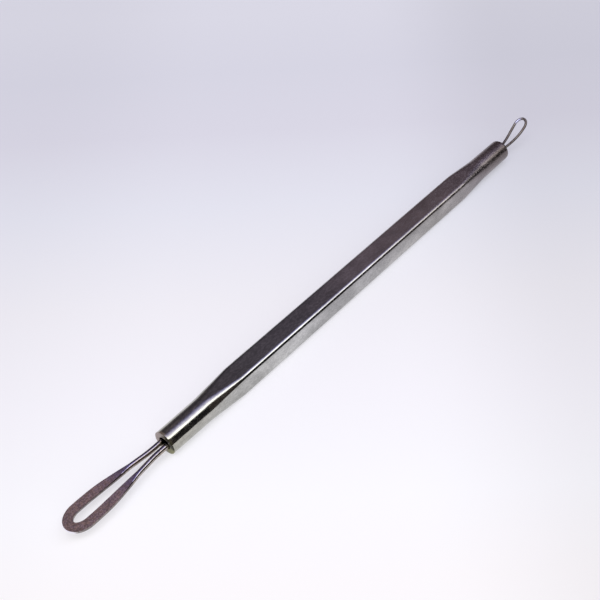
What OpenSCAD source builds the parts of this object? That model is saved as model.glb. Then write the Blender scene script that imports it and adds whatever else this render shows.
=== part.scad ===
// Blackhead extractor: a square metal handle with a wire loop soldered into each end.
// The handle lies on one of its flats, +X points to the large loop and +Z is up.
// The origin is the middle of that flat.

/* [Handle] */
// Length of the handle between its two end faces
handle_len = 89.5; // [60:0.5:130]
// Width of the square stretch, flat to flat
handle_side = 4.1; // [3.4:0.1:8]
// Radius of the four long corners of the square stretch
handle_corner_r = 0.8; // [0.3:0.02:1.2]
// Length of the round stretch at each end
round_len = 8; // [5:0.1:12]
// Length over which each end changes from round to square
blend_len = 6.8; // [3:0.1:12]
// How much thinner the round stretch is at its end face than where the square begins
end_taper = 0.12; // [0.02:0.01:0.3]
// Width of the bevel round each end face
end_bevel = 0.06; // [0.02:0.01:0.15]

/* [Large loop] */
// Thickness of the round wire
large_wire_d = 0.88; // [0.6:0.02:1.1]
// Distance from the end face to the outside of the tip
large_reach = 18.5; // [14:0.1:30]
// Width over the widest stretch
large_width = 4.8; // [4:0.1:8]
// Width of the wire where it is pressed flat
large_flat_w = 1.58; // [1.2:0.02:2]
// Thickness of the wire where it is pressed flat
large_flat_t = 0.44; // [0.3:0.02:0.6]
// Distance from the end face to where the flattening begins
large_flat_start = 5.9; // [3:0.1:8]
// Length over which the wire goes from round to its full flat width
large_flat_ramp = 6.2; // [1:0.1:8]
// Gap between the two legs inside the handle
large_leg_gap = 0.28; // [0.04:0.01:0.6]
// Distance from the end face over which the legs stay side by side
large_leg_straight = 1.6; // [0.5:0.1:4]
// Length over which the legs turn outwards
large_turn_out = 2; // [0.5:0.1:4]
// Length over which they turn parallel again
large_turn_back = 4.5; // [0.5:0.1:6]
// Length of the parallel stretch just behind the rounded tip
large_tip_straight = 1; // [0.5:0.1:3]
// Length of the rounded tip along the handle's axis, to the middle of the wire
large_tip_len = 2.3; // [1:0.1:4]
// How deep the legs reach into the handle
large_leg_depth = 7; // [4:0.5:12]

/* [Small loop] */
// Thickness of the round wire
small_wire_d = 0.5; // [0.3:0.02:0.8]
// Distance from the end face to the outside of the tip, measured along the curved loop
small_reach = 9.2; // [6:0.1:14]
// Width over the widest stretch
small_width = 2.56; // [2:0.02:5]
// Gap between the two legs inside the handle
small_leg_gap = 0.06; // [0.04:0.01:0.4]
// Angle by which the loop ends up bent from the handle's axis
small_tilt = 31.7; // [0:0.1:45]
// Radius of that bend
small_bend_r = 10.3; // [2:0.1:20]
// Distance from the end face to where that bend begins
small_bend_start = 1.1; // [0.1:0.1:3]
// Length over which the legs turn outwards
small_turn_out = 0.9; // [0.3:0.1:2]
// Length over which they turn parallel again
small_turn_back = 2.3; // [0.5:0.1:3]
// Length of the rounded tip along the loop, to the middle of the wire
small_tip_len = 1.5; // [0.8:0.1:3]
// How deep the legs reach into the handle
small_leg_depth = 5; // [3:0.5:10]

/* [Soldered seats] */
// Room between the legs and the wall of their bore
bore_clear = 0.07; // [0.05:0.01:0.3]
// How far a bore goes on past the ends of the legs
bore_past_legs = 0.6; // [0.2:0.1:2]
// How far the solder stays back from the mouth of its bore
solder_set_back = 1.4; // [0.5:0.1:3]
// Gap left between the solder and what it holds
solder_gap = 0.01; // [0.005:0.005:0.03]

/* [Hidden] */

steel = [0.62, 0.61, 0.62];
wire_steel = [0.66, 0.63, 0.64];
solder_grey = [0.55, 0.55, 0.53];

// Facets of the round shapes, of a wire's section, and rings along the stretches of a loop
round_facets = 64;
wire_facets = 18;
leg_rings = 28;
leg_inner_rings = 2;
tip_rings = 20;
// Thin slices that the round-to-square blends are stretched between
slice = 0.01;
// How far a cut goes on past a face
past = 1;

half_len = handle_len / 2;
axis_z = handle_side / 2;
square_len = handle_len - 2 * (round_len + blend_len);

function leg_y(wire_d, gap) = (gap + wire_d) / 2;
function bore_r(wire_d, gap) = gap / 2 + wire_d + bore_clear;

// Sideways rise over a stretch of a given length: level at first, then a straight slope that
// is eased in over one length and out over another
function spread(v, length, ease_in, ease_out, rise) =
    let (
        u = min(length, max(0, v)),
        left = length - u,
        slope = rise / (length - (ease_in + ease_out) / 2)
    )
    u < ease_in ? slope * u * u / (2 * ease_in)
    : left > ease_out ? slope * (u - ease_in / 2)
    : rise - slope * left * left / (2 * ease_out);

// Half of a loop's centre line, from the inner end of a leg to the tip
function half_path(depth, root_y, wide_y, straight, turn_out, turn_back, x_wide, x_tip, tip_len) = concat(
    [for (i = [0 : leg_inner_rings - 1])
        [-depth * (1 - i / leg_inner_rings), root_y]],
    [for (i = [0 : leg_rings - 1])
        let (x = x_tip * i / leg_rings)
        [x, root_y + spread(x - straight, x_wide - straight, turn_out, turn_back, wide_y - root_y)]],
    [for (i = [0 : tip_rings])
        let (a = 90 * i / tip_rings)
        [x_tip + tip_len * sin(a), wide_y * cos(a)]]
);

function mirrored(path) = [for (i = [len(path) - 2 : -1 : 0]) [path[i][0], -path[i][1]]];

function unit(v) = v / norm(v);

// Sideways direction of the centre line at one of its points
function side_dir(path, i) =
    let (
        before = path[max(0, i - 1)],
        after = path[min(len(path) - 1, i + 1)],
        along = unit(after - before)
    )
    [-along[1], along[0]];

// Share of the flattening that is done at a distance out from the end face: it starts at once,
// where the press took hold, and runs out gently
function flat_share(x, start, ramp) = 1 - pow(1 - min(1, max(0, (x - start) / ramp)), 1.4);

// Section of the wire: two sides that keep the roundness of the drawn wire, and between them
// the flats that the press left, which all but vanish where the wire is still round
function section(d, w, t) =
    let (
        corner = min(84, asin(min(1, t / d))),
        middle = (w - d) / 2,
        steps = wire_facets / 2 - 1
    )
    [
        for (side = [1, -1]) for (j = [0 : steps])
            let (a = corner * (2 * j / steps - 1))
            [side * (middle + d / 2 * cos(a)), side * d / 2 * sin(a)]
    ];

// Points that lie out past the bend are turned up about it, and nothing else moves
function bent(p, start, radius, angle) =
    let (
        out = p[0] - start,
        turn = min(angle, max(0, out / radius * 180 / PI)),
        rest = max(0, out - radius * angle * PI / 180),
        up = p[2] - radius
    )
    out <= 0 ? p : [
        start - up * sin(turn) + rest * cos(turn),
        p[1],
        radius + up * cos(turn) + rest * sin(turn)
    ];

// A wire swept along its centre line, closed at both ends, with rings of points
module wire(rings) {
    n = len(rings);
    m = wire_facets;
    points = [for (ring = rings) for (p = ring) p];
    sides = [
        for (i = [0 : n - 2]) for (j = [0 : m - 1])
            let (a = i * m + j, b = i * m + (j + 1) % m, c = a + m, d = b + m)
            each [[a, d, b], [a, c, d]]
    ];
    first_end = [[for (j = [0 : m - 1]) j]];
    last_end = [[for (j = [m - 1 : -1 : 0]) (n - 1) * m + j]];
    polyhedron(points = points, faces = concat(sides, first_end, last_end), convexity = 6);
}

// Square bar with rounded long corners, between two distances along the handle
module rounded_bar(x0, x1) {
    inner = handle_side - 2 * handle_corner_r;
    translate([x0, 0, axis_z]) {
        translate([0, -handle_side / 2, -inner / 2])
            cube([x1 - x0, handle_side, inner]);
        translate([0, -inner / 2, -handle_side / 2])
            cube([x1 - x0, inner, handle_side]);
        for (y = [-1, 1], z = [-1, 1])
            translate([0, y * inner / 2, z * inner / 2])
                rotate([0, 90, 0])
                    cylinder(h = x1 - x0, r = handle_corner_r, $fn = round_facets);
    }
}

// Round end that points to +X: the blend from square, the slightly tapered stretch and the bevel
module round_end() {
    x_square = half_len - round_len - blend_len;
    x_round = half_len - round_len;
    face_r = (handle_side - end_taper) / 2;
    hull() {
        rounded_bar(x_square - slice, x_square);
        translate([x_round, 0, axis_z])
            rotate([0, 90, 0])
                cylinder(h = slice, d = handle_side, $fn = round_facets);
    }
    translate([x_round, 0, axis_z])
        rotate([0, 90, 0])
            cylinder(h = round_len - end_bevel, d1 = handle_side, r2 = face_r, $fn = round_facets);
    translate([half_len - end_bevel, 0, axis_z])
        rotate([0, 90, 0])
            cylinder(h = end_bevel, r1 = face_r, r2 = face_r - end_bevel, $fn = round_facets);
}

// Blind bore in the end that points to +X
module bore(radius, leg_depth) {
    depth = leg_depth + bore_past_legs;
    translate([half_len - depth, 0, axis_z])
        rotate([0, 90, 0])
            cylinder(h = depth + past, r = radius, $fn = round_facets);
}

// Solder round the two legs, in the bore of the end that points to +X
module solder(wire_d, gap, leg_depth) {
    bottom = half_len - leg_depth - bore_past_legs + solder_gap;
    length = leg_depth + bore_past_legs - solder_set_back - solder_gap;
    translate([0, 0, axis_z])
        rotate([0, 90, 0])
            difference() {
                translate([0, 0, bottom])
                    cylinder(h = length, r = bore_r(wire_d, gap) - solder_gap, $fn = round_facets);
                for (side = [-1, 1])
                    translate([0, side * leg_y(wire_d, gap), half_len - leg_depth - solder_gap])
                        cylinder(
                            h = leg_depth + past,
                            r = wire_d / 2 + solder_gap,
                            $fn = round_facets
                        );
            }
}

module handle() {
    color(steel)
        difference() {
            union() {
                rounded_bar(-square_len / 2, square_len / 2);
                round_end();
                mirror([1, 0, 0]) round_end();
            }
            bore(bore_r(large_wire_d, large_leg_gap), large_leg_depth);
            mirror([1, 0, 0]) bore(bore_r(small_wire_d, small_leg_gap), small_leg_depth);
        }
}

module large_loop() {
    wide_y = (large_width - large_flat_w) / 2;
    x_tip = large_reach - large_flat_w / 2 - large_tip_len;
    half = half_path(
        large_leg_depth, leg_y(large_wire_d, large_leg_gap), wide_y,
        large_leg_straight, large_turn_out, large_turn_back,
        x_tip - large_tip_straight, x_tip, large_tip_len
    );
    path = concat(half, mirrored(half));
    rings = [
        for (i = [0 : len(path) - 1])
            let (
                side = side_dir(path, i),
                share = flat_share(path[i][0], large_flat_start, large_flat_ramp),
                w = large_wire_d + (large_flat_w - large_wire_d) * share,
                t = large_wire_d + (large_flat_t - large_wire_d) * share
            )
            [
                for (q = section(large_wire_d, w, t))
                    [path[i][0] + side[0] * q[0], path[i][1] + side[1] * q[0], q[1]]
            ]
    ];
    color(wire_steel)
        translate([half_len, 0, axis_z])
            wire(rings);
}

module small_loop() {
    wide_y = (small_width - small_wire_d) / 2;
    x_tip = small_reach - small_wire_d / 2 - small_tip_len;
    half = half_path(
        small_leg_depth, leg_y(small_wire_d, small_leg_gap), wide_y,
        0, small_turn_out, small_turn_back,
        x_tip, x_tip, small_tip_len
    );
    path = concat(half, mirrored(half));
    rings = [
        for (i = [0 : len(path) - 1])
            let (side = side_dir(path, i))
            [
                for (q = section(small_wire_d, small_wire_d, small_wire_d))
                    bent(
                        [path[i][0] + side[0] * q[0], path[i][1] + side[1] * q[0], q[1]],
                        small_bend_start, small_bend_r, small_tilt
                    )
            ]
    ];
    color(wire_steel)
        mirror([1, 0, 0])
            translate([half_len, 0, axis_z])
                wire(rings);
}

module large_loop_solder() {
    color(solder_grey)
        solder(large_wire_d, large_leg_gap, large_leg_depth);
}

module small_loop_solder() {
    color(solder_grey)
        mirror([1, 0, 0])
            solder(small_wire_d, small_leg_gap, small_leg_depth);
}

handle();
large_loop();
small_loop();
large_loop_solder();
small_loop_solder();
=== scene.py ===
# Blackhead extractor: a square steel handle with round ends, a pressed wire loop at +X
# and a fine wire loop, bent up, at -X. Lengths are in millimetres until they reach a mesh.
import math

import bpy
from mathutils import Matrix, Vector, noise


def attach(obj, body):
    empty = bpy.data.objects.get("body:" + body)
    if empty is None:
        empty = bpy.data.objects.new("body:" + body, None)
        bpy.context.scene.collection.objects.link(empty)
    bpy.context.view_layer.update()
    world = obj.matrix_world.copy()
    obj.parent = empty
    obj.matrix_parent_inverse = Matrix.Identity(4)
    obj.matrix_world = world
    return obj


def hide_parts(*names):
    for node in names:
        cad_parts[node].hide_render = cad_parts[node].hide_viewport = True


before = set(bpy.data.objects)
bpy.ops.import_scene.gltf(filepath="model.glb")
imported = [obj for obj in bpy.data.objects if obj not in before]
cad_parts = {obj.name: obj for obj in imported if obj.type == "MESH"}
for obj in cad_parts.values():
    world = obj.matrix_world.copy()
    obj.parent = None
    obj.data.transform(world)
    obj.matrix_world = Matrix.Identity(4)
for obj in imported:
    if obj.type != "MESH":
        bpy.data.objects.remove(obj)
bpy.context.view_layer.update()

MM = 0.001

# Handle
HANDLE_LEN = 89.5
HALF_LEN = HANDLE_LEN / 2
SIDE = 4.1
AXIS_Z = SIDE / 2
CORNER_R = 0.8
ROUND_LEN = 8.0
BLEND_LEN = 6.8
END_TAPER = 0.12
EDGE_BREAK = 0.09
# Corner radius of a round section, as a share of its own radius
ROUND_CORNER = 0.995
# Depth of the unevenness that drawing and tumbling left, and the sizes and shares of its two waves
HAMMERING = 0.006
SLOW_WAVE_LEN = 5.0
SLOW_WAVE_WIDTH = 2.2
SLOW_WAVE_SHARE = 0.36
QUICK_WAVE_LEN = 1.6
QUICK_WAVE_WIDTH = 1.1
QUICK_WAVE_SHARE = 0.14

# Bores
BORE_CLEAR = 0.07
BORE_PAST_LEGS = 0.6
# The rounded mouth of a bore: how deep it begins, how wide it gets, and its middle step
MOUTH_DEPTH = 0.06
MOUTH_WIDTH = 0.05
MOUTH_STEP = 0.012

# Large loop
LARGE_WIRE_D = 0.88
LARGE_REACH = 18.5
LARGE_WIDTH = 4.8
FLAT_W = 1.58
FLAT_T = 0.44
FLAT_START = 5.9
FLAT_RAMP = 6.2
FLAT_EASE = 1.4
LARGE_LEG_GAP = 0.28
LARGE_DEPTH = 7.0
LARGE_LEG_STRAIGHT = 1.6
LARGE_TURN_OUT = 2.0
LARGE_TURN_BACK = 4.5
LARGE_TIP_STRAIGHT = 1.0
LARGE_TIP_LEN = 2.3
LARGE_LEG_Y = (LARGE_LEG_GAP + LARGE_WIRE_D) / 2
LARGE_WIDE_Y = (LARGE_WIDTH - FLAT_W) / 2
LARGE_TIP_X = LARGE_REACH - FLAT_W / 2 - LARGE_TIP_LEN
LARGE_BORE_R = LARGE_LEG_GAP / 2 + LARGE_WIRE_D + BORE_CLEAR

# Small loop
SMALL_WIRE_D = 0.50
SMALL_REACH = 9.2
SMALL_WIDTH = 2.56
SMALL_LEG_GAP = 0.06
SMALL_DEPTH = 5.0
SMALL_TURN_OUT = 0.9
SMALL_TURN_BACK = 2.3
SMALL_TIP_LEN = 1.5
# How far the tip stays back, so that its finer facets don't pass the solid's own
SMALL_TIP_BACK = 0.004
BEND_START = 1.1
BEND_R = 10.3
BEND_ANGLE = math.radians(31.7)
SMALL_LEG_Y = (SMALL_LEG_GAP + SMALL_WIRE_D) / 2
SMALL_WIDE_Y = (SMALL_WIDTH - SMALL_WIRE_D) / 2
SMALL_TIP_X = SMALL_REACH - SMALL_WIRE_D / 2 - SMALL_TIP_LEN
SMALL_BORE_R = SMALL_LEG_GAP / 2 + SMALL_WIRE_D + BORE_CLEAR

# Fineness of the meshes
CORNER_STEPS = 18
FLAT_STEPS = 10
RING_STEP = 0.4
BORE_RINGS = 4
FACE_RINGS = 3
EDGE_RINGS = 4
LEG_RINGS = 110
TIP_RINGS = 48
SHARP_ANGLE = math.radians(38)

# Floor, light and camera
FLOOR_RADIUS_M = 4.0
FLOOR_RIM_POINTS = 96
FLOOR_EVEN_SHARE = 0.55
LAMP_STRENGTH = 2.95
LAMP_TURN = 27.0
LAMP_MIDDLE_X = -0.36
WINDOW_STRENGTH = 1.78
PICTURE_PX = 600
VIEW_RIGHT = (-0.65032, 0.75853, -0.04153)
VIEW_UP = (-0.55664, -0.43861, 0.70554)
VIEW_BACK = (0.51695, 0.48195, 0.70746)
VIEW_PLACE = (91.61, 72.25, 113.30)

# Node settings that repeat, and the sockets of a Mix node for colours
EASED = {"interpolation_type": "SMOOTHSTEP"}
COLOURS = {"data_type": "RGBA"}
SHARE, FIRST, SECOND, RESULT = 0, 6, 7, 2


def linear(hex_colour):
    """An sRGB hex colour as the linear values that sockets take."""
    parts = [int(hex_colour[i:i + 2], 16) / 255 for i in (1, 3, 5)]
    return tuple(c / 12.92 if c <= 0.04045 else ((c + 0.055) / 1.055) ** 2.4 for c in parts) + (1.0,)


def add(tree, kind, settings=None, inputs=()):
    """Adds a node with its settings. Its inputs, as a list or by socket, are values, sockets to
    link, or nodes whose first output is linked."""
    made = tree.nodes.new(kind)
    for name, value in (settings or {}).items():
        setattr(made, name, value)
    pairs = inputs.items() if isinstance(inputs, dict) else enumerate(inputs)
    for name, value in pairs:
        if isinstance(value, bpy.types.Node):
            value = value.outputs[0]
        if isinstance(value, bpy.types.NodeSocket):
            tree.links.new(value, made.inputs[name])
        else:
            made.inputs[name].default_value = value
    return made


def stops(ramp_node, pairs):
    """Sets a colour ramp's stops from (position, hex colour) pairs."""
    ramp = ramp_node.color_ramp
    while len(ramp.elements) < len(pairs):
        ramp.elements.new(0.5)
    for element, (place, colour) in zip(ramp.elements, pairs):
        element.position = place
        element.color = linear(colour)


# Shapes


def solid(name, rings):
    """A closed mesh from rings of points in millimetres, smooth but for its sharp edges."""
    count = len(rings[0])
    points = [p for ring in rings for p in ring]
    faces = []
    for i in range(len(rings) - 1):
        for j in range(count):
            a, b = i * count + j, i * count + (j + 1) % count
            faces.append((a, b, b + count, a + count))
    faces.append(tuple(range(count - 1, -1, -1)))
    faces.append(tuple(range((len(rings) - 1) * count, len(rings) * count)))
    mesh = bpy.data.meshes.new(name)
    mesh.from_pydata([(x * MM, y * MM, z * MM) for x, y, z in points], [], faces)
    mesh.validate()
    mesh.shade_smooth()
    mesh.set_sharp_from_angle(angle=SHARP_ANGLE)
    made = bpy.data.objects.new(name, mesh)
    bpy.context.scene.collection.objects.link(made)
    return made


def rounded_square(side, corner):
    """Points round a square section with rounded corners; a disc is nearly all corner."""
    reach = side / 2 - corner
    arc = []
    for step in range(CORNER_STEPS + 1):
        turn = math.pi / 2 * step / CORNER_STEPS
        arc.append((reach + corner * math.cos(turn), reach + corner * math.sin(turn)))
    points = []
    for c, s in ((1, 0), (0, 1), (-1, 0), (0, -1)):
        here = [(y * c - z * s, y * s + z * c) for y, z in arc]
        points += here
        (y0, z0), (y1, z1) = here[-1], (-here[0][1], here[0][0])
        for step in range(1, FLAT_STEPS):
            share = step / FLAT_STEPS
            points.append((y0 + (y1 - y0) * share, z0 + (z1 - z0) * share))
    return points


def disc_ring(radius):
    """A round section with the same number of points as the square one."""
    return rounded_square(2 * radius, radius * ROUND_CORNER)


def handle_section(x):
    """Side and corner radius of the handle at a distance from its middle."""
    out = abs(x)
    x_round = HALF_LEN - ROUND_LEN
    x_square = x_round - BLEND_LEN
    if out <= x_square:
        return SIDE, CORNER_R
    if out <= x_round:
        share = (out - x_square) / BLEND_LEN
        return SIDE, CORNER_R + (SIDE / 2 * ROUND_CORNER - CORNER_R) * share
    side = SIDE - END_TAPER * (out - x_round) / ROUND_LEN
    return side, side / 2 * ROUND_CORNER


def unevenness(x, y, z):
    """How far the drawn and tumbled surface lies under its true shape, from about 0 to 1."""
    slow = noise.noise(Vector((x / SLOW_WAVE_LEN, y / SLOW_WAVE_WIDTH, z / SLOW_WAVE_WIDTH)))
    # The quick wave starts at another place in the noise than the slow one
    quick = noise.noise(Vector((x / QUICK_WAVE_LEN + 40, y / QUICK_WAVE_WIDTH, z / QUICK_WAVE_WIDTH)))
    return 0.5 + SLOW_WAVE_SHARE * slow + QUICK_WAVE_SHARE * quick


def handle_end(bore_r, bore_depth):
    """(distance out, section) from the bottom of a bore, over the end face, to the round shell."""
    face_r = (SIDE - END_TAPER) / 2
    mouth_r = bore_r + MOUTH_WIDTH
    rows = [(HALF_LEN - bore_depth, disc_ring(bore_r))]
    for k in range(1, BORE_RINGS + 1):
        x = HALF_LEN - bore_depth + (bore_depth - MOUTH_DEPTH) * k / BORE_RINGS
        rows.append((x, disc_ring(bore_r)))
    rows.append((HALF_LEN - MOUTH_STEP, disc_ring(bore_r + MOUTH_STEP)))
    rows.append((HALF_LEN, disc_ring(mouth_r)))
    for k in range(1, FACE_RINGS + 1):
        rows.append((HALF_LEN, disc_ring(mouth_r + (face_r - EDGE_BREAK - mouth_r) * k / FACE_RINGS)))
    for k in range(1, EDGE_RINGS + 1):
        turn = math.radians(90 * k / EDGE_RINGS)
        radius = face_r - EDGE_BREAK * (1 - math.sin(turn))
        rows.append((HALF_LEN - EDGE_BREAK * (1 - math.cos(turn)), disc_ring(radius)))
    return rows


def make_handle():
    """The bar, as one skin from the bottom of one bore, over the outside, to that of the other."""
    near = handle_end(LARGE_BORE_R, LARGE_DEPTH + BORE_PAST_LEGS)
    far = handle_end(SMALL_BORE_R, SMALL_DEPTH + BORE_PAST_LEGS)
    rings = [[(x, y, AXIS_Z + z) for y, z in ring] for x, ring in near]
    span = 2 * (HALF_LEN - EDGE_BREAK)
    count = round(span / RING_STEP)
    for k in range(1, count):
        x = HALF_LEN - EDGE_BREAK - span * k / count
        ring = []
        for y, z in rounded_square(*handle_section(x)):
            sink = HAMMERING * unevenness(x, y, z) / math.hypot(y, z)
            ring.append((x, y * (1 - sink), AXIS_Z + z * (1 - sink)))
        rings.append(ring)
    for x, ring in reversed(far):
        rings.append([(-x, y, AXIS_Z + z) for y, z in ring])
    return solid("handle_bar", rings)


def spread(v, length, ease_in, ease_out, rise):
    """Sideways rise of a leg: level, then a straight slope eased in and out."""
    u = min(length, max(0.0, v))
    left = length - u
    slope = rise / (length - (ease_in + ease_out) / 2)
    if u < ease_in:
        return slope * u * u / (2 * ease_in)
    if left > ease_out:
        return slope * (u - ease_in / 2)
    return rise - slope * left * left / (2 * ease_out)


def loop_path(depth, root_y, wide_y, straight, turn_out, turn_back, x_wide, x_tip, tip_len):
    """Centre line of a loop, from the inner end of one leg round the tip to the other."""
    half = [(-depth * (1 - k / BORE_RINGS), root_y) for k in range(BORE_RINGS)]
    for k in range(LEG_RINGS):
        x = x_tip * k / LEG_RINGS
        rise = spread(x - straight, x_wide - straight, turn_out, turn_back, wide_y - root_y)
        half.append((x, root_y + rise))
    for k in range(TIP_RINGS + 1):
        turn = math.radians(90 * k / TIP_RINGS)
        half.append((x_tip + tip_len * math.sin(turn), wide_y * math.cos(turn)))
    return half + [(x, -y) for x, y in reversed(half[:-1])]


def side_of(path, i):
    """Sideways direction of a centre line at one of its points."""
    before, after = path[max(0, i - 1)], path[min(len(path) - 1, i + 1)]
    dx, dy = after[0] - before[0], after[1] - before[1]
    size = math.hypot(dx, dy)
    return -dy / size, dx / size


def wire_section(wire_d, width, thickness, arc_steps, flat_steps):
    """Section of the wire: two sides that keep the drawn roundness, and the flats that the
    press left between them."""
    r = wire_d / 2
    # A round wire has no flats, so its sides all but meet
    corner = math.asin(min(0.9999, thickness / wire_d))
    middle = width / 2 - r
    half_flat = middle + r * math.cos(corner)
    points = []
    for sign in (1, -1):
        for k in range(arc_steps + 1):
            turn = corner * (2 * k / arc_steps - 1)
            points.append((sign * (middle + r * math.cos(turn)), sign * r * math.sin(turn)))
        for k in range(1, flat_steps):
            points.append((sign * half_flat * (1 - 2 * k / flat_steps), sign * thickness / 2))
    return points


def make_large_loop():
    """The thick wire, bent double, which turns from round to flat towards its tip."""
    path = loop_path(
        LARGE_DEPTH, LARGE_LEG_Y, LARGE_WIDE_Y, LARGE_LEG_STRAIGHT, LARGE_TURN_OUT, LARGE_TURN_BACK,
        LARGE_TIP_X - LARGE_TIP_STRAIGHT, LARGE_TIP_X, LARGE_TIP_LEN,
    )
    rings = []
    for i, (x, y) in enumerate(path):
        sx, sy = side_of(path, i)
        share = 1 - (1 - min(1.0, max(0.0, (x - FLAT_START) / FLAT_RAMP))) ** FLAT_EASE
        thick = LARGE_WIRE_D + (FLAT_T - LARGE_WIRE_D) * share
        width = LARGE_WIRE_D + (FLAT_W - LARGE_WIRE_D) * share
        rings.append([
            (HALF_LEN + x + sx * across, y + sy * across, AXIS_Z + up)
            for across, up in wire_section(LARGE_WIRE_D, width, thick, arc_steps=16, flat_steps=6)
        ])
    return solid("pressed_wire_loop", rings)


def bent(x, y, z):
    """A point of the small loop, turned up about its bend."""
    out = x - BEND_START
    if out <= 0:
        return x, y, z
    turn = min(BEND_ANGLE, out / BEND_R)
    rest = max(0.0, out - BEND_R * BEND_ANGLE)
    up = z - BEND_R
    return (
        BEND_START - up * math.sin(turn) + rest * math.cos(turn),
        y,
        BEND_R + up * math.cos(turn) + rest * math.sin(turn),
    )


def make_small_loop():
    """The fine wire, bent double and then up. It points the other way, so its rings turn round."""
    path = loop_path(
        SMALL_DEPTH, SMALL_LEG_Y, SMALL_WIDE_Y, 0.0, SMALL_TURN_OUT, SMALL_TURN_BACK,
        SMALL_TIP_X, SMALL_TIP_X, SMALL_TIP_LEN - SMALL_TIP_BACK,
    )
    section = wire_section(SMALL_WIRE_D, SMALL_WIRE_D, SMALL_WIRE_D, arc_steps=14, flat_steps=2)
    rings = []
    for i, (x, y) in enumerate(path):
        sx, sy = side_of(path, i)
        ring = []
        for across, up in section:
            px, py, pz = bent(x + sx * across, y + sy * across, up)
            ring.append((-HALF_LEN - px, py, AXIS_Z + pz))
        rings.append(ring[::-1])
    return solid("fine_wire_loop", rings)


# Materials


def new_material(name):
    """A material with no nodes yet, and its node tree."""
    made = bpy.data.materials.new(name)
    made.use_nodes = True
    made.node_tree.nodes.clear()
    return made, made.node_tree


def millimetres(tree):
    """Places on the object, in millimetres."""
    place = add(tree, "ShaderNodeTexCoord").outputs["Object"]
    return add(tree, "ShaderNodeVectorMath", {"operation": "SCALE"}, {0: place, "Scale": 1 / MM})


def patches(tree, place, size, detail=2.0, stretch=(1, 1, 1)):
    """Noise from 0 to 1 whose patches are about the given size in millimetres."""
    moved = add(tree, "ShaderNodeVectorMath", {"operation": "MULTIPLY"}, [place, stretch])
    return add(tree, "ShaderNodeTexNoise", None, {"Vector": moved, "Scale": 1 / size, "Detail": detail})


def product(tree, *values):
    """The values multiplied together."""
    total = values[0]
    for value in values[1:]:
        total = add(tree, "ShaderNodeMath", {"operation": "MULTIPLY"}, [total, value])
    return total


def polished_bar_steel():
    """Stainless bar, cold drawn, tumbled and polished: glossy but clouded in patches, duller
    towards the small loop and straw-coloured by soldering heat at the large one. Its end faces
    are sawn and filed, so they are dull."""
    made, tree = new_material("polished_stainless_bar")
    place = millimetres(tree)
    x, y, z = add(tree, "ShaderNodeSeparateXYZ", None, [place]).outputs
    # Share of the way from the small loop's end to the large loop's end
    along = add(tree, "ShaderNodeMapRange", None, [x, -45.0, 45.0])
    # Darker and pinker towards the small loop: painted shade, and a painted pink tint on the reflections
    # there. Straw-coloured near the large loop from soldering heat.
    tint = add(tree, "ShaderNodeValToRGB", None, [along])
    stops(tint, [
        (0.0, "#918681"), (0.12, "#948c8a"), (0.28, "#ada9a3"), (0.50, "#bab9b7"), (0.70, "#b6b6b3"),
        (0.86, "#b1b1ab"), (1.0, "#b0afa3"),
    ])
    cloud = patches(tree, place, size=9.0, stretch=(0.7, 1, 1))
    blotch = patches(tree, place, size=1.5, stretch=(0.6, 1, 1))
    # The real grain is finer than the picture can show, so it is drawn at a quarter of a millimetre
    grain = patches(tree, place, size=0.25, detail=1.0, stretch=(0.5, 1, 1))
    shade = product(
        tree,
        add(tree, "ShaderNodeMapRange", EASED, [cloud, 0.36, 0.64, 0.78, 1.10]),
        add(tree, "ShaderNodeMapRange", EASED, [blotch, 0.3, 0.7, 0.88, 1.08]),
        add(tree, "ShaderNodeMapRange", EASED, [grain, 0.3, 0.7, 0.86, 1.10]),
    )
    bar = add(tree, "ShaderNodeVectorMath", {"operation": "SCALE"}, {0: tint, "Scale": shade})
    # Filed end faces: a yellowish cast from flux on one side, and a painted shadow over the upper part of
    # that side
    out = add(tree, "ShaderNodeMath", {"operation": "ABSOLUTE"}, [x])
    filed = add(tree, "ShaderNodeMath", {"operation": "GREATER_THAN"}, [out, HALF_LEN - EDGE_BREAK])
    flux = add(tree, "ShaderNodeValToRGB", None, [
        add(tree, "ShaderNodeMapRange", EASED, [y, -1.2, 1.2, 0.0, 1.0]),
    ])
    stops(flux, [(0.0, "#a29690"), (0.5, "#8b857a"), (1.0, "#8c8b67")])
    # Painted shadow: darkens the end face on one side, from a little under the axis upwards
    painted_shadow = product(
        tree,
        add(tree, "ShaderNodeMapRange", EASED, [y, 0.0, 0.6, 0.0, 0.88]),
        add(tree, "ShaderNodeMapRange", EASED, [z, AXIS_Z - 0.6, AXIS_Z + 0.2, 0.0, 1.0]),
    )
    unshadowed = add(tree, "ShaderNodeMath", {"operation": "SUBTRACT"}, [1.0, painted_shadow])
    shadowed_face = add(tree, "ShaderNodeVectorMath", {"operation": "SCALE"}, {0: flux, "Scale": unshadowed})
    colour = add(tree, "ShaderNodeMix", COLOURS, {SHARE: filed, FIRST: bar, SECOND: shadowed_face})
    # Haze: more of it towards the small loop, and where the tumbling left the grain open
    haze = add(tree, "ShaderNodeMath", {"operation": "ADD"}, [
        add(tree, "ShaderNodeMapRange", EASED, [along, 0.04, 0.55, 0.29, 0.12]),
        product(
            tree,
            add(tree, "ShaderNodeMapRange", EASED, [grain, 0.35, 0.75, -0.02, 0.12]),
            add(tree, "ShaderNodeMapRange", EASED, [along, 0.1, 0.9, 1.0, 0.5]),
        ),
    ])
    roughness = add(tree, "ShaderNodeMath", {"operation": "MULTIPLY_ADD"}, [filed, 0.3, haze])
    # Drawing lines along the bar
    lines = patches(tree, place, size=0.22, stretch=(0.06, 1, 1))
    relief = add(tree, "ShaderNodeBump", None, {"Height": lines, "Strength": 0.5, "Distance": 0.004 * MM})
    steel = add(tree, "ShaderNodeBsdfPrincipled", None, {
        "Base Color": colour.outputs[RESULT], "Metallic": 1.0, "Roughness": roughness, "Normal": relief,
    })
    add(tree, "ShaderNodeOutputMaterial", None, {"Surface": steel})
    return made


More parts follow.
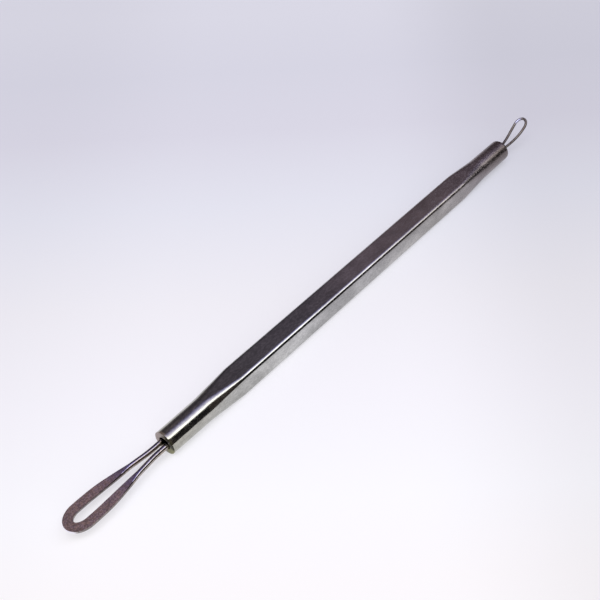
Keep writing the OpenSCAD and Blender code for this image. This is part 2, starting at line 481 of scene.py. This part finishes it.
def pressed_wire_steel():
    """Stainless wire, drawn bright: a painted blue reflection where the press began, and mottled brown on the
    flats that it left. The sides of the flats get painted shade, and the front edge a painted highlight."""
    made, tree = new_material("pressed_stainless_wire")
    place = millimetres(tree)
    x = add(tree, "ShaderNodeSeparateXYZ", None, [place]).outputs["X"]
    # Share of the way from the end face to the middle of the tip
    along = add(tree, "ShaderNodeMapRange", None, [x, HALF_LEN, HALF_LEN + 18.0])
    drawn = add(tree, "ShaderNodeValToRGB", None, [along])
    stops(drawn, [(0.0, "#a39b90"), (0.20, "#a29d97"), (0.5, "#b4ada8"), (1.0, "#c4c0bd")])
    # Blue where the press began: a painted reflection of the room's bluish part, on faces that point up or
    # down. After it, the flats' own mottled tint.
    pressed = add(tree, "ShaderNodeValToRGB", None, [along])
    stops(pressed, [
        (0.25, "#9b99a6"), (0.34, "#7f80b4"), (0.43, "#a09dc0"), (0.55, "#bbb1bf"), (0.75, "#cabec5"),
        (1.0, "#bab0b5"),
    ])
    facing = add(tree, "ShaderNodeSeparateXYZ", None, [add(tree, "ShaderNodeTexCoord").outputs["Normal"]])
    forward = facing.outputs["X"]
    level = add(tree, "ShaderNodeMath", {"operation": "ABSOLUTE"}, [facing.outputs["Z"]])
    flat = add(tree, "ShaderNodeMapRange", EASED, [level, 0.85, 0.97, 0.0, 1.0])
    tint = add(tree, "ShaderNodeMix", COLOURS, {SHARE: flat, FIRST: drawn, SECOND: pressed})
    cloud = patches(tree, place, size=1.2)
    speck = patches(tree, place, size=0.22, detail=1.0)
    fleck = patches(tree, place, size=0.45, detail=1.0, stretch=(1, 1, 3))
    hue = add(tree, "ShaderNodeValToRGB", None, [fleck])
    stops(hue, [(0.35, "#fff6ee"), (0.5, "#f6f4f2"), (0.65, "#f4f0fa")])
    # Painted shade: the sides of the ribbon, but for its front edge, are darkened from where the press began
    painted_shade_start = HALF_LEN + FLAT_START
    painted_side_shade = product(
        tree,
        add(tree, "ShaderNodeMapRange", EASED, [x, painted_shade_start, painted_shade_start + 3, 0.0, 0.5]),
        add(tree, "ShaderNodeMapRange", EASED, [level, 0.75, 0.95, 1.0, 0.0]),
        add(tree, "ShaderNodeMapRange", EASED, [forward, 0.5, 0.8, 1.0, 0.0]),
    )
    shade = product(
        tree,
        add(tree, "ShaderNodeMapRange", EASED, [cloud, 0.36, 0.64, 0.90, 1.10]),
        add(tree, "ShaderNodeMapRange", EASED, [speck, 0.3, 0.7, 0.72, 1.30]),
        add(tree, "ShaderNodeMath", {"operation": "SUBTRACT"}, [1.0, painted_side_shade]),
    )
    hued = add(tree, "ShaderNodeVectorMath", {"operation": "MULTIPLY"}, [tint.outputs[RESULT], hue])
    mottled = add(tree, "ShaderNodeVectorMath", {"operation": "SCALE"}, {0: hued, "Scale": shade})
    # Painted highlight on the front edge
    painted_highlight = product(
        tree,
        add(tree, "ShaderNodeMapRange", EASED, [forward, 0.6, 0.8, 0.0, 1.0]),
        add(tree, "ShaderNodeMapRange", EASED, [level, 0.75, 0.9, 1.0, 0.0]),
    )
    colour = add(tree, "ShaderNodeMix", COLOURS, {SHARE: painted_highlight, FIRST: mottled, SECOND: linear("#f0eef6")})
    steel = add(tree, "ShaderNodeBsdfPrincipled", None, {
        "Base Color": colour.outputs[RESULT],
        "Metallic": 1.0,
        "Roughness": add(tree, "ShaderNodeMapRange", EASED, [along, 0.25, 0.5, 0.04, 0.17]),
    })
    add(tree, "ShaderNodeOutputMaterial", None, {"Surface": steel})
    return made


def fine_wire_steel():
    """Fine stainless wire, annealed for bending: brown-grey and satin, with a painted lavender highlight
    and a smoother patch on one side of the tip."""
    made, tree = new_material("annealed_fine_wire")
    place = millimetres(tree)
    x, y = add(tree, "ShaderNodeSeparateXYZ", None, [place]).outputs[:2]
    # Painted highlight: a lighter lavender colour, and lower roughness, on one side of the tip
    painted_highlight = product(
        tree,
        add(tree, "ShaderNodeMapRange", EASED, [x, -52.1, -51.4, 1.0, 0.0]),
        add(tree, "ShaderNodeMapRange", EASED, [y, -0.7, -0.2, 1.0, 0.0]),
    )
    satin = add(tree, "ShaderNodeValToRGB", None, [patches(tree, place, size=1.3)])
    stops(satin, [(0.35, "#5f5552"), (0.65, "#76706c")])
    colour = add(tree, "ShaderNodeMix", COLOURS, {SHARE: painted_highlight, FIRST: satin, SECOND: linear("#9a9ab4")})
    steel = add(tree, "ShaderNodeBsdfPrincipled", None, {
        "Base Color": colour.outputs[RESULT],
        "Metallic": 1.0,
        "Roughness": add(tree, "ShaderNodeMapRange", EASED, [painted_highlight, 0.0, 1.0, 0.36, 0.14]),
    })
    add(tree, "ShaderNodeOutputMaterial", None, {"Surface": steel})
    return made


def soft_solder():
    """Tin solder that set in the bores: dull, grainy and darker than the steel."""
    made, tree = new_material("soft_solder")
    place = millimetres(tree)
    tint = add(tree, "ShaderNodeValToRGB", None, [patches(tree, place, size=0.4, detail=3.0)])
    stops(tint, [(0.3, "#6f6d68"), (0.7, "#989690")])
    tin = add(tree, "ShaderNodeBsdfPrincipled", None, {"Base Color": tint, "Metallic": 1.0, "Roughness": 0.5})
    add(tree, "ShaderNodeOutputMaterial", None, {"Surface": tin})
    return made


# Pieces

bar_steel = polished_bar_steel()
pressed_wire = pressed_wire_steel()
fine_wire = fine_wire_steel()
solder = soft_solder()

for piece, node, slot, finish in (
    (make_handle(), "handle", "handle_steel", bar_steel),
    (make_large_loop(), "large_loop", "wire_steel", pressed_wire),
    (make_small_loop(), "small_loop", "wire_steel", fine_wire),
):
    piece.data.materials.append(finish)
    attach(piece, "root")
    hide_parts(node)

for node in ("large_loop_solder", "small_loop_solder"):
    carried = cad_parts[node].data
    carried.materials.clear()
    carried.materials.append(solder)


# Floor, light and camera


def white_paper():
    """Smooth white paper, matt, with painted shade: a little darker away from the viewer and towards both
    sides.
    """
    made, tree = new_material("white_paper")
    place = millimetres(tree)
    # Distance along the floor, away from the viewer, from just before to just behind the picture
    away = add(tree, "ShaderNodeVectorMath", {"operation": "DOT_PRODUCT"}, [place, (-0.731, -0.682, 0)])
    depth = add(tree, "ShaderNodeMapRange", None, [away.outputs["Value"], -80.0, 120.0])
    # Painted shade: the paper darkens and turns bluish away from the viewer
    tint = add(tree, "ShaderNodeValToRGB", None, [depth])
    stops(tint, [
        (0.125, "#fbf9fb"), (0.19, "#fafafe"), (0.28, "#f5f4fa"), (0.385, "#eeedf3"), (0.515, "#e2e3ed"),
        (0.635, "#d8d7e3"), (0.75, "#d5d5e1"), (0.875, "#d8d8e3"),
    ])
    # Painted shade: the paper darkens towards both sides
    aside = add(tree, "ShaderNodeVectorMath", {"operation": "DOT_PRODUCT"}, [place, (-0.65, 0.76, 0)])
    edge = product(
        tree,
        add(tree, "ShaderNodeMapRange", EASED, [aside.outputs["Value"], 6.0, 38.0, 1.0, 0.88]),
        add(tree, "ShaderNodeMapRange", EASED, [aside.outputs["Value"], -65.0, -30.0, 0.95, 1.0]),
    )
    pictured = add(tree, "ShaderNodeVectorMath", {"operation": "SCALE"}, {0: tint, "Scale": edge})
    # Beyond the picture the paper is one plain tone
    distance = add(tree, "ShaderNodeVectorMath", {"operation": "LENGTH"}, [place]).outputs["Value"]
    beyond = add(tree, "ShaderNodeMapRange", EASED, [distance, 130, 260, 0.0, 1.0])
    colour = add(tree, "ShaderNodeMix", COLOURS, {SHARE: beyond, FIRST: pictured, SECOND: linear("#e2e2ea")})
    paper = add(tree, "ShaderNodeBsdfPrincipled", None, {
        "Base Color": colour.outputs[RESULT], "Roughness": 0.9, "Specular IOR Level": 0.1,
    })
    # The camera and reflections see part of the paper as evenly lit, so its shadows stay light
    light = add(tree, "ShaderNodeLightPath")
    seen = add(tree, "ShaderNodeMath", {"operation": "MAXIMUM"}, [
        light.outputs["Is Camera Ray"], light.outputs["Is Glossy Ray"],
    ])
    even = add(tree, "ShaderNodeMath", {"operation": "MULTIPLY"}, [seen, FLOOR_EVEN_SHARE])
    glow = add(tree, "ShaderNodeEmission", None, {"Color": colour.outputs[RESULT], "Strength": 1.0})
    mixed = add(tree, "ShaderNodeMixShader", None, [even, paper, glow])
    add(tree, "ShaderNodeOutputMaterial", None, {"Surface": mixed})
    return made


def paper_floor():
    """A round sheet under the object, far wider than the picture."""
    mesh = bpy.data.meshes.new("paper_floor")
    rim = []
    for k in range(FLOOR_RIM_POINTS):
        turn = 2 * math.pi * k / FLOOR_RIM_POINTS
        rim.append((FLOOR_RADIUS_M * math.cos(turn), FLOOR_RADIUS_M * math.sin(turn), 0))
    mesh.from_pydata(rim, [], [tuple(range(FLOOR_RIM_POINTS))])
    floor = bpy.data.objects.new("paper_floor", mesh)
    bpy.context.scene.collection.objects.link(floor)
    floor.data.materials.append(white_paper())


def lit(tree, base, colour, amount):
    """The base with a colour added, as strongly as the amount says."""
    part = add(tree, "ShaderNodeVectorMath", {"operation": "SCALE"}, {0: colour, "Scale": amount})
    return add(tree, "ShaderNodeVectorMath", {"operation": "ADD"}, [base, part])


def studio_room():
    """A dim room with a long lamp over the handle, a window behind the viewer, and brown
    furniture beyond both loops."""
    world = bpy.data.worlds.new("studio_room")
    bpy.context.scene.world = world
    world.use_nodes = True
    tree = world.node_tree
    tree.nodes.clear()
    way = add(tree, "ShaderNodeTexCoord").outputs["Generated"]
    x, y, z = add(tree, "ShaderNodeSeparateXYZ", None, [way]).outputs
    # Angle round the handle's axis in degrees: 0 at the viewer's horizon, 90 overhead
    radians = add(tree, "ShaderNodeMath", {"operation": "ARCTAN2"}, [z, y])
    around = add(tree, "ShaderNodeMath", {"operation": "MULTIPLY"}, [radians, 180 / math.pi])
    wall = add(tree, "ShaderNodeValToRGB", None, [
        add(tree, "ShaderNodeMath", {"operation": "DIVIDE"}, [around, 180.0]),
    ])
    stops(wall, [
        (0.0, "#302e32"), (0.16, "#1b1a1d"), (0.30, "#1c1b1f"), (0.45, "#393650"), (0.60, "#585263"),
        (0.68, "#5b5560"), (0.75, "#4d4853"), (0.83, "#3d3a41"), (0.90, "#514d55"), (0.97, "#77727a"),
    ])
    # The lamp hangs a little askew over the handle, and its light turns blue towards its far edge
    off_middle = add(tree, "ShaderNodeMath", {"operation": "ADD"}, [x, -LAMP_MIDDLE_X])
    askew = add(tree, "ShaderNodeMath", {"operation": "MULTIPLY"}, [off_middle, LAMP_TURN])
    lamp_angle = add(tree, "ShaderNodeMath", {"operation": "SUBTRACT"}, [around, askew])
    lamp = add(tree, "ShaderNodeValToRGB", None, [
        add(tree, "ShaderNodeMath", {"operation": "DIVIDE"}, [lamp_angle, 180.0]),
    ])
    stops(lamp, [(degrees / 180, colour) for degrees, colour in (
        (53, "#000000"), (60, "#ffffff"), (69, "#ffffff"), (74, "#cdccd8"), (80, "#aeacc1"),
        (88, "#8b89a2"), (97, "#5c5c78"), (106, "#26253c"), (113, "#000000"),
    )])
    lamp_light = product(
        tree,
        add(tree, "ShaderNodeMapRange", EASED, [x, -0.735, -0.665, 0.0, 1.0]),
        add(tree, "ShaderNodeMapRange", EASED, [x, 0.3, 0.6, 1.0, 0.0]),
        LAMP_STRENGTH,
    )
    window = product(
        tree,
        add(tree, "ShaderNodeMapRange", EASED, [x, -0.12, 0.15, 0.0, 1.0]),
        add(tree, "ShaderNodeMapRange", EASED, [y, -0.25, 0.05, 0.0, 1.0]),
        add(tree, "ShaderNodeMapRange", EASED, [z, 0.02, 0.2, 0.0, 1.0]),
        WINDOW_STRENGTH,
    )
    # Brown furniture beyond the small loop, and more of it beyond the large one
    upper = add(tree, "ShaderNodeMapRange", EASED, [around, 20.0, 115.0, 0.25, 1.0])
    small_side = product(
        tree,
        add(tree, "ShaderNodeMapRange", EASED, [x, -0.71, -0.68, 0.0, 1.0]),
        add(tree, "ShaderNodeMapRange", EASED, [x, -0.64, -0.50, 1.0, 0.0]),
        upper,
    )
    large_side = product(tree, add(tree, "ShaderNodeMapRange", EASED, [x, -0.315, -0.275, 0.0, 1.0]), upper)
    glow = wall
    for colour, amount in (
        (lamp.outputs["Color"], lamp_light),
        ((0.17, 0.12, 0.14), small_side),
        ((0.19, 0.14, 0.115), large_side),
        ((0.985, 1.0, 0.965), window),
    ):
        glow = lit(tree, glow, colour, amount)
    background = add(tree, "ShaderNodeBackground", None, {"Color": glow, "Strength": 1.0})
    add(tree, "ShaderNodeOutputWorld", None, {"Surface": background})


def viewer():
    """The camera, where the photograph was taken from."""
    lens = bpy.data.cameras.new("viewer")
    lens.sensor_width = 36.0
    lens.lens = 57.0
    lens.clip_start = 0.005
    lens.clip_end = 50.0
    # Half a pixel each way, to the middle of the photograph
    lens.shift_x = -0.5 / PICTURE_PX
    lens.shift_y = 0.5 / PICTURE_PX
    camera = bpy.data.objects.new("viewer", lens)
    bpy.context.scene.collection.objects.link(camera)
    turn = Matrix((VIEW_RIGHT, VIEW_UP, VIEW_BACK)).transposed()
    camera.matrix_world = Matrix.Translation(Vector(VIEW_PLACE) * MM) @ turn.to_4x4()
    bpy.context.scene.camera = camera


paper_floor()
studio_room()
viewer()
bpy.context.scene.view_settings.view_transform = "Standard"
